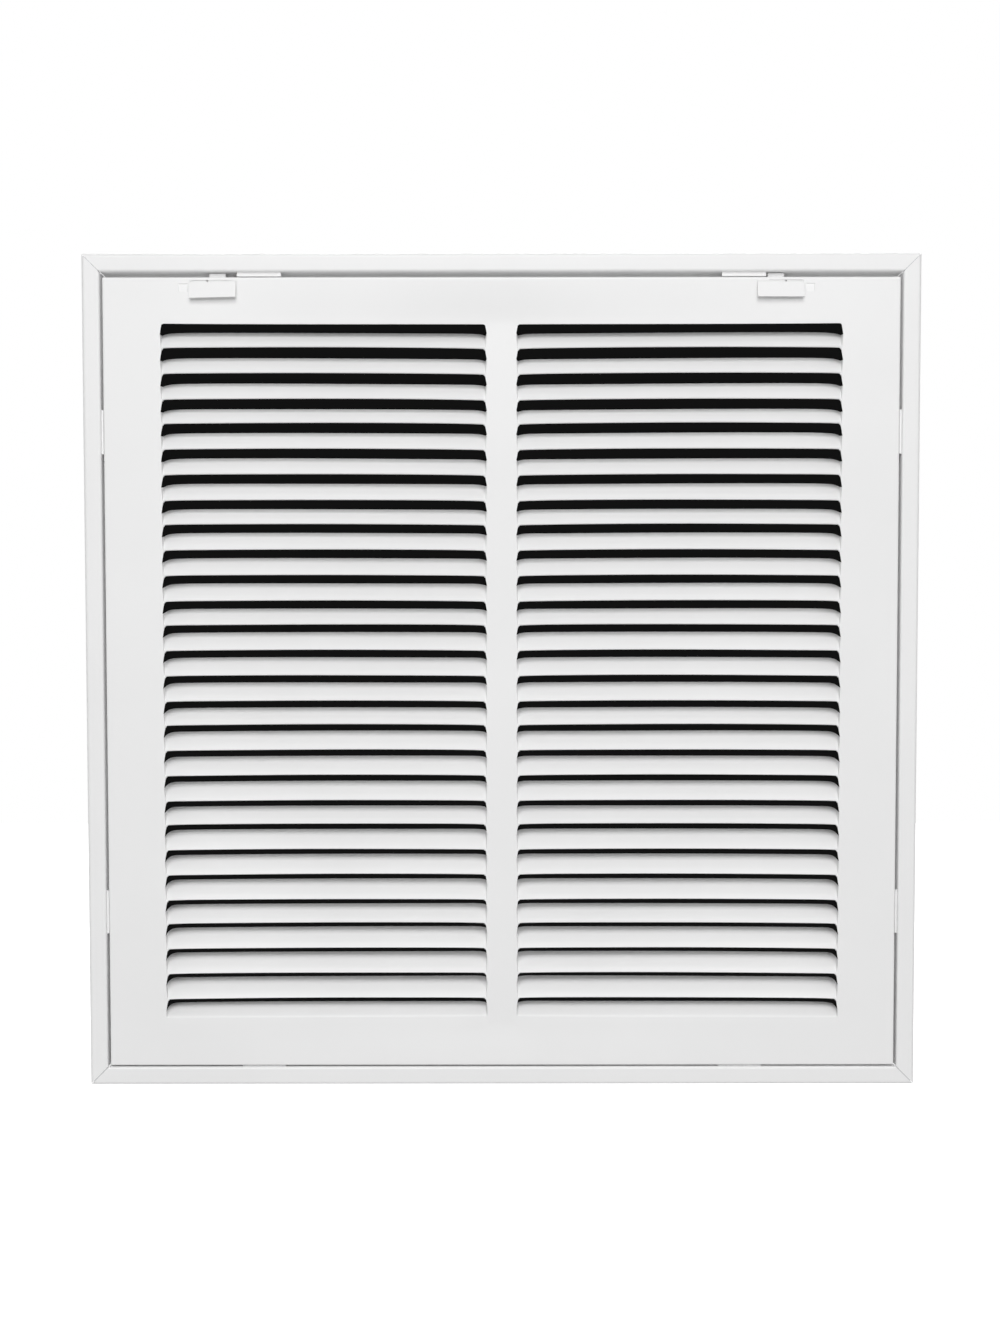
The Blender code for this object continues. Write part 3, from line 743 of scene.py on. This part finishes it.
def draw_in(bm, sizes):
    """Draws the pressed field in towards the mullion, and lets the louvres wander, as pressed sheet does."""
    field_top = DOOR_TOP - sizes.top_panel
    field_foot = field_top - sizes.rows * sizes.pitch
    outer = DOOR_SIDE - sizes.side_panel
    for vert in bm.verts:
        x, z = abs(vert.co.x), vert.co.z
        ease = eased((DOOR_TOP - EDGE_MARGIN - z) / (sizes.top_panel - EDGE_MARGIN))
        ease *= eased((z - DOOR_BOTTOM - EDGE_MARGIN) / (field_foot - DOOR_BOTTOM - EDGE_MARGIN))
        ease *= eased((DOOR_SIDE - EDGE_MARGIN - x) / (sizes.side_panel - EDGE_MARGIN))
        inner = max(x, sizes.mullion / 2)
        hollow = sizes.hollow * max(1.0 - inner / outer, 0.0)
        hollow += sizes.mullion_hollow * math.exp(-(inner - sizes.mullion / 2) / (28 * MM))
        vert.co.y += hollow * ease
        inside = min(x - sizes.mullion / 2, outer - x)
        if inside > 0.0 and field_foot < z < field_top - 1 * MM:
            ease = min(inside / (12 * MM), 1.0)
            at = Vector((vert.co.x * 9.0, z * 60.0, 0.0))
            vert.co.z += sizes.waviness * ease * noise.noise(at)
            vert.co.y += 0.5 * sizes.waviness * ease * noise.noise(at + Vector((0.0, 0.0, 7.0)))


class GRILLE_OT_louvred_door(Operator):
    """Model the pressed door with its two banks of louvres"""

    bl_idname = "grille.louvred_door"
    bl_label = "Louvred Door"

    def execute(self, context):
        sizes = context.scene.grille_door
        frame_sizes = context.scene.grille_frame
        latch_sizes = context.scene.grille_latch
        paint = powder_coat("door_powder_coat", context.scene.grille_finish.door_white, 0.4)
        bm = press_door(sizes)
        bmesh.ops.mirror(bm, geom=[*bm.verts, *bm.edges, *bm.faces], axis="X", merge_dist=0.001 * MM)
        bmesh.ops.recalc_face_normals(bm, faces=bm.faces)
        fold_flange(bm, sizes)
        face_outwards(bm, Vector((0.0, -1.0, 0.0)))

        half_slot = frame_sizes.tab_length / 2 + 0.6 * MM
        for side in (-1, 1):
            middle = side * (HALF - frame_sizes.tab_from_corner)
            ends = (middle - half_slot, middle + half_slot)
            cut_flange(bm, *ends, FACE_Y + 1.2 * MM, FACE_Y + 5.0 * MM, DOOR_BOTTOM)
        for side in (-1, 1):
            outboard, travel, web, finger = latch_place(latch_sizes, side)
            top = DOOR_TOP - latch_sizes.below_top
            ends = sorted((outboard - side * (web[0] - CLEAR), outboard - side * (web[1] + travel + CLEAR)))
            cut_face(bm, *ends, top - latch_sizes.sheet - CLEAR, top + CLEAR)
            near = outboard + side * 1.1 * MM
            press_mark(bm, latch_sizes, *sorted((near, near + side * latch_sizes.mark_width)))
            reach = (finger[0] - CLEAR, finger[1] + travel + CLEAR)
            ends = sorted((outboard - side * reach[0], outboard - side * reach[1]))
            front = FACE_Y + frame_sizes.tab_setback + frame_sizes.sheet + FINGER_GAP
            cut_flange(bm, *ends, front - FINGER_GAP, front + latch_sizes.sheet + FINGER_GAP, DOOR_TOP)
        draw_in(bm, sizes)
        door = finish_piece("louvred_door", bm, paint, "door", "grille_door")
        add_thickness(door, sizes.sheet, PAINTED_EDGE)
        return {"FINISHED"}


# Thumb latches


def latch_place(sizes, side):
    """A latch's outboard edge and travel, and how far its web and its finger are from that edge."""
    low, high = LEFT_LATCH if side < 0 else RIGHT_LATCH
    outboard = low.x if side < 0 else high.x
    travel = sizes.left_travel if side < 0 else sizes.right_travel
    web = (sizes.web_inset, sizes.web_inset + sizes.web)
    finger = (web[1] + sizes.relief, web[1] + sizes.relief + sizes.finger)
    return outboard, travel, web, finger


def bend_latch(sizes, frame_sizes, side):
    """A latch as an open sheet: flared lip, thumb plate, web through the face, back strip and finger."""
    low, high = LEFT_LATCH if side < 0 else RIGHT_LATCH
    outboard, _, web, finger = latch_place(sizes, side)
    width = high.x - low.x
    front = FACE_Y - sizes.gap - sizes.sheet
    back = FACE_Y + frame_sizes.tab_setback + frame_sizes.sheet + FINGER_GAP + sizes.sheet
    top = DOOR_TOP - sizes.below_top
    fold = top - sizes.sheet
    relief = fold - sizes.relief
    lip = top - sizes.height
    near = 0.01 * MM

    def open_between(start, end, y, z):
        """The open edges at a depth and height, between two distances from the outboard edge."""
        ends = sorted((outboard - side * start, outboard - side * end))
        low = (ends[0] - near, y - near, z[0] - near)
        high = (ends[1] + near, y + near, z[1] + near)
        return open_edges(bm, low, high)

    bm = bmesh.new()
    path = [(front - sizes.flare, lip), (front, lip + sizes.lip), (front, fold)]
    start = [bm.verts.new((outboard, y, z)) for y, z in path]
    outline = [bm.edges.new(pair) for pair in zip(start, start[1:])]
    reached = 0.0
    for place in (web[0] - sizes.relief, *web, finger[0], width):
        across = draw_out(bm, outline, (-side * (place - reached), 0.0, 0.0))
        outline = [edge for edge in across if abs(edge.verts[0].co.x - edge.verts[1].co.x) < near]
        reached = place
    for start, end in ((0.0, web[0] - sizes.relief), (finger[0], width)):
        draw_out(bm, open_between(start, end, front, (fold, fold)), (0.0, 0.0, sizes.sheet))

    draw_out(bm, open_between(*web, front, (fold, fold)), (0.0, 0.0, sizes.sheet))
    draw_out(bm, open_between(*web, front, (top, top)), (0.0, back - front, 0.0))
    draw_out(bm, open_between(*web, back, (top, top)), (0.0, 0.0, relief - top))
    draw_out(bm, open_between(*web, back, (relief, relief)), (0.0, 0.0, top - sizes.back - relief))
    side_edge = open_between(web[1], web[1], back, (top - sizes.back, relief))
    draw_out(bm, side_edge, (-side * sizes.relief, 0.0, 0.0))
    side_edge = open_between(finger[0], finger[0], back, (top - sizes.back, relief))
    draw_out(bm, side_edge, (-side * sizes.finger, 0.0, 0.0))
    finger_top = DOOR_TOP + sizes.finger_rise
    draw_out(bm, open_between(*finger, back, (relief, relief)), (0.0, 0.0, finger_top - relief))

    bmesh.ops.recalc_face_normals(bm, faces=bm.faces)
    plate = [face for face in bm.faces if face.calc_center_median().y < front + near]
    if sum(face.normal.y for face in plate) > 0:
        bmesh.ops.reverse_faces(bm, faces=bm.faces)
    folds = [e for e in bm.edges if len(e.link_faces) == 2 and e.calc_face_angle(0.0) > math.radians(20)]
    round_edges(bm, folds, 0.35 * MM, 3)
    if side < 0:
        for vert in bm.verts:
            if vert.co.z < fold - 2 * MM and vert.co.y < FACE_Y:
                outer = 1.0 - min(abs(vert.co.x - outboard) / (0.8 * width), 1.0)
                vert.co.z -= sizes.left_droop * outer
    return bm


class GRILLE_OT_thumb_latches(Operator):
    """Model the two thumb latches that slide below the door's top edge"""

    bl_idname = "grille.thumb_latches"
    bl_label = "Thumb Latches"

    def execute(self, context):
        sizes = context.scene.grille_latch
        paint = powder_coat("latch_powder_coat", context.scene.grille_finish.latch_white, 0.38)
        for side, place in ((-1, "left"), (1, "right")):
            bm = bend_latch(sizes, context.scene.grille_frame, side)
            latch = finish_piece(
                f"{place}_thumb_latch", bm, paint, f"latch_{place}", f"thumb_latch_{place}"
            )
            add_thickness(latch, sizes.sheet, PAINTED_EDGE)
        return {"FINISHED"}


# Studio

# The open door hangs 0.6 m below the middle of the grille, so the floor lies lower still
FLOOR_DROP = 0.66
FLOOR_HALF = 4.0

# The tray of painted shade, a black sheet that stands for the darkness behind the louvres: its depth behind the
# face, the height of its wall and the width of its brim
PAINTED_SHADE_DEPTH = 14.5 * MM
PAINTED_SHADE_WALL = 10.5 * MM
PAINTED_SHADE_BRIM = 18 * MM

MIDDLE = (0.0, 0.0, 0.0)
KEY_PLACE = (0.0, -4.2, 3.8)
FRONT_PLACE = (0.0, -0.92, 0.45)
FRONT_AIM = (0.0, -0.5, -0.1)
BACK_PLACE = (0.0, 4.2, 3.0)

CAMERA_SIDE = -0.9 * MM
CAMERA_TILT = 2.306
CAMERA_ROLL = -0.05


def add_plane(name, low, high, axis):
    """A flat stage piece between two corners, square to an axis."""
    bm = bmesh.new()
    bmesh.ops.create_grid(bm, x_segments=1, y_segments=1, size=0.5)
    if axis == "Y":
        upright = Matrix.Rotation(math.pi / 2, 3, "X")
        bmesh.ops.rotate(bm, cent=(0.0, 0.0, 0.0), matrix=upright, verts=bm.verts)
    span = Vector(high) - Vector(low)
    bmesh.ops.scale(bm, vec=[s if s > 0 else 1.0 for s in span], verts=bm.verts)
    bmesh.ops.translate(bm, vec=(Vector(low) + Vector(high)) / 2, verts=bm.verts)
    mesh = bpy.data.meshes.new(name)
    bm.to_mesh(mesh)
    bm.free()
    plane = bpy.data.objects.new(name, mesh)
    bpy.context.scene.collection.objects.link(plane)
    return plane


def add_painted_shade_tray(material, inside):
    """A tray of painted shade: a black sheet close behind the louvres, standing for the dark inside of the
    duct, with a brim behind the door's margins.
    """
    bm = bmesh.new()
    bmesh.ops.create_grid(
        bm, x_segments=1, y_segments=1, size=inside,
        matrix=Matrix.Translation((0.0, FACE_Y + PAINTED_SHADE_DEPTH, 0.0)) @ Matrix.Rotation(math.pi / 2, 4, "X"),
    )
    sides = draw_out(bm, list(bm.edges), (0.0, -PAINTED_SHADE_WALL, 0.0))
    sides = [edge for edge in sides if edge.is_boundary]
    made = bmesh.ops.extrude_edge_only(bm, edges=sides)
    wider = (inside + PAINTED_SHADE_BRIM) / inside
    bmesh.ops.scale(bm, vec=(wider, 1.0, wider), verts=verts_of(made))
    face_outwards(bm, Vector((0.0, -1.0, 0.0)))
    mesh = bpy.data.meshes.new("painted_shade_tray")
    bm.to_mesh(mesh)
    bm.free()
    mesh.materials.append(material)
    tray = bpy.data.objects.new("painted_shade_tray", mesh)
    bpy.context.scene.collection.objects.link(tray)
    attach(tray, "door")


def seen_directly(nodes, links):
    """A factor that is 1 for rays from the camera, and for what gloss or glass shows of them."""
    path = nodes.new("ShaderNodeLightPath")
    either = nodes.new("ShaderNodeMath")
    either.operation = "MAXIMUM"
    links.new(path.outputs["Is Camera Ray"], either.inputs[0])
    links.new(path.outputs["Is Glossy Ray"], either.inputs[1])
    any_of = nodes.new("ShaderNodeMath")
    any_of.operation = "MAXIMUM"
    links.new(either.outputs[0], any_of.inputs[0])
    links.new(path.outputs["Is Transmission Ray"], any_of.inputs[1])
    return any_of.outputs[0]


def pale_floor(base):
    """A floor that looks white where it is lit, and keeps the shadow that falls on it."""
    material = bpy.data.materials.new("pale_floor")
    material.use_nodes = True
    nodes = material.node_tree.nodes
    links = material.node_tree.links
    shader = nodes["Principled BSDF"]
    shader.inputs["Base Color"].default_value = (*base, 1.0)
    shader.inputs["Roughness"].default_value = 0.9
    shader.inputs["Specular IOR Level"].default_value = 0.1
    glow = nodes.new("ShaderNodeEmission")
    glow.inputs["Strength"].default_value = 0.8
    lit = nodes.new("ShaderNodeAddShader")
    mix = nodes.new("ShaderNodeMixShader")
    links.new(shader.outputs[0], lit.inputs[0])
    links.new(glow.outputs[0], lit.inputs[1])
    links.new(seen_directly(nodes, links), mix.inputs["Fac"])
    links.new(shader.outputs[0], mix.inputs[1])
    links.new(lit.outputs[0], mix.inputs[2])
    links.new(mix.outputs[0], nodes["Material Output"].inputs["Surface"])
    return material


def painted_shade_material(base, lets_light):
    """Painted shade: a sheet that looks black from its front, standing for the darkness behind the louvres, and
    lets light through to the back of the louvres.
    """
    material = bpy.data.materials.new("painted_shade_material")
    material.use_nodes = True
    nodes = material.node_tree.nodes
    links = material.node_tree.links
    shader = nodes["Principled BSDF"]
    shader.inputs["Base Color"].default_value = (0.0, 0.0, 0.0, 1.0)
    shader.inputs["Roughness"].default_value = 1.0
    shader.inputs["Specular IOR Level"].default_value = 0.0
    # painted shade: seen directly, the sheet glows with the near-black of the shaded slots
    shader.inputs["Emission Color"].default_value = (*base, 1.0)
    shader.inputs["Emission Strength"].default_value = 1.0
    clear = nodes.new("ShaderNodeBsdfTransparent")
    clear.inputs["Color"].default_value = (lets_light, lets_light, lets_light, 1.0)
    unseen = nodes.new("ShaderNodeMath")
    unseen.operation = "SUBTRACT"
    unseen.inputs[0].default_value = 1.0
    links.new(seen_directly(nodes, links), unseen.inputs[1])
    geometry = nodes.new("ShaderNodeNewGeometry")
    through = nodes.new("ShaderNodeBsdfTransparent")
    from_front = nodes.new("ShaderNodeMixShader")
    links.new(unseen.outputs[0], from_front.inputs["Fac"])
    links.new(shader.outputs[0], from_front.inputs[1])
    links.new(clear.outputs[0], from_front.inputs[2])
    mix = nodes.new("ShaderNodeMixShader")
    links.new(geometry.outputs["Backfacing"], mix.inputs["Fac"])
    links.new(from_front.outputs[0], mix.inputs[1])
    links.new(through.outputs[0], mix.inputs[2])
    links.new(mix.outputs[0], nodes["Material Output"].inputs["Surface"])
    return material


def light_world(strength):
    """Even light from all sides, seen as plain white."""
    world = bpy.data.worlds.new("studio")
    bpy.context.scene.world = world
    world.use_nodes = True
    nodes = world.node_tree.nodes
    links = world.node_tree.links
    fill = nodes["Background"]
    fill.inputs["Color"].default_value = (1.0, 1.0, 1.0, 1.0)
    fill.inputs["Strength"].default_value = strength
    white = nodes.new("ShaderNodeBackground")
    white.inputs["Color"].default_value = (1.0, 1.0, 1.0, 1.0)
    white.inputs["Strength"].default_value = 1.0
    mix = nodes.new("ShaderNodeMixShader")
    links.new(seen_directly(nodes, links), mix.inputs["Fac"])
    links.new(fill.outputs[0], mix.inputs[1])
    links.new(white.outputs[0], mix.inputs[2])
    links.new(mix.outputs[0], nodes["World Output"].inputs["Surface"])


def add_lamp(name, place, aim, width, height, power):
    light = bpy.data.lights.new(name, "AREA")
    light.shape = "RECTANGLE"
    light.size = width
    light.size_y = height
    light.energy = power
    lamp = bpy.data.objects.new(name, light)
    lamp.location = place
    lamp.rotation_euler = (Vector(aim) - Vector(place)).to_track_quat("-Z", "Y").to_euler()
    bpy.context.scene.collection.objects.link(lamp)


def add_camera(studio):
    camera = bpy.data.cameras.new("camera")
    camera.lens = studio.lens
    camera.sensor_width = 36.0
    camera.sensor_fit = "AUTO"
    camera.clip_start = 0.01
    seat = bpy.data.objects.new("camera", camera)
    tilt = Matrix.Rotation(math.radians(90.0 - CAMERA_TILT), 4, "X")
    roll = Matrix.Rotation(math.radians(CAMERA_ROLL), 4, "Z")
    place = Matrix.Translation((CAMERA_SIDE, FACE_Y - studio.distance, studio.camera_height))
    seat.matrix_world = place @ tilt @ roll
    bpy.context.scene.collection.objects.link(seat)
    bpy.context.scene.camera = seat


class GRILLE_OT_studio(Operator):
    """Add the floor, the tray of painted shade behind the louvres, the lights and the camera"""

    bl_idname = "grille.studio"
    bl_label = "Studio"

    def execute(self, context):
        studio = context.scene.grille_studio
        finish = context.scene.grille_finish
        low = (-FLOOR_HALF, -FLOOR_HALF, -FLOOR_DROP)
        high = (FLOOR_HALF, FLOOR_HALF, -FLOOR_DROP)
        floor = add_plane("floor", low, high, "Z")
        floor.data.materials.append(pale_floor(finish.floor))
        # painted shade behind the louvres, black where the slots fall in shade
        painted_shade = painted_shade_material(finish.painted_shade, studio.painted_shade_lets_light)
        add_painted_shade_tray(painted_shade, HALF - context.scene.grille_frame.collar_inset - 0.4 * MM)
        light_world(studio.fill)
        add_lamp("key_lamp", KEY_PLACE, MIDDLE, 3.0, 2.0, studio.key)
        add_lamp("front_lamp", FRONT_PLACE, FRONT_AIM, 1.2, 0.3, studio.front)
        add_lamp("back_lamp", BACK_PLACE, MIDDLE, 3.0, 2.0, studio.back)
        add_camera(studio)
        view = context.scene.view_settings
        view.view_transform = "Standard"
        return {"FINISHED"}


class GRILLE_PT_sidebar(Panel):
    bl_idname = "GRILLE_PT_sidebar"
    bl_label = "Return Air Filter Grille"
    bl_space_type = "VIEW_3D"
    bl_region_type = "UI"
    bl_category = "Grille"

    def draw(self, context):
        scene = context.scene
        for operator, group in PARTS:
            box = self.layout.box()
            box.operator(operator.bl_idname)
            if group:
                for name in group.__annotations__:
                    box.prop(getattr(scene, GROUPS[group]), name)
        finishes = self.layout.box()
        for name in GrilleFinishes.__annotations__:
            finishes.prop(scene.grille_finish, name)


GROUPS = {
    GrilleFrameSizes: "grille_frame",
    GrilleDoorSizes: "grille_door",
    GrilleLatchSizes: "grille_latch",
    GrilleFinishes: "grille_finish",
    GrilleStudio: "grille_studio",
}
PARTS = (
    (GRILLE_OT_frame_rails, GrilleFrameSizes),
    (GRILLE_OT_corner_keys, None),
    (GRILLE_OT_louvred_door, GrilleDoorSizes),
    (GRILLE_OT_thumb_latches, GrilleLatchSizes),
    (GRILLE_OT_studio, GrilleStudio),
)
CLASSES = (*GROUPS, *(operator for operator, _ in PARTS), GRILLE_PT_sidebar)


def register():
    for cls in CLASSES:
        bpy.utils.register_class(cls)
    for group, name in GROUPS.items():
        setattr(bpy.types.Scene, name, PointerProperty(type=group))


def unregister():
    for name in GROUPS.values():
        delattr(bpy.types.Scene, name)
    for cls in reversed(CLASSES):
        bpy.utils.unregister_class(cls)


def main():
    register()
    bpy.ops.grille.frame_rails()
    bpy.ops.grille.corner_keys()
    bpy.ops.grille.louvred_door()
    bpy.ops.grille.thumb_latches()
    bpy.ops.grille.studio()


if __name__ == "__main__":
    main()
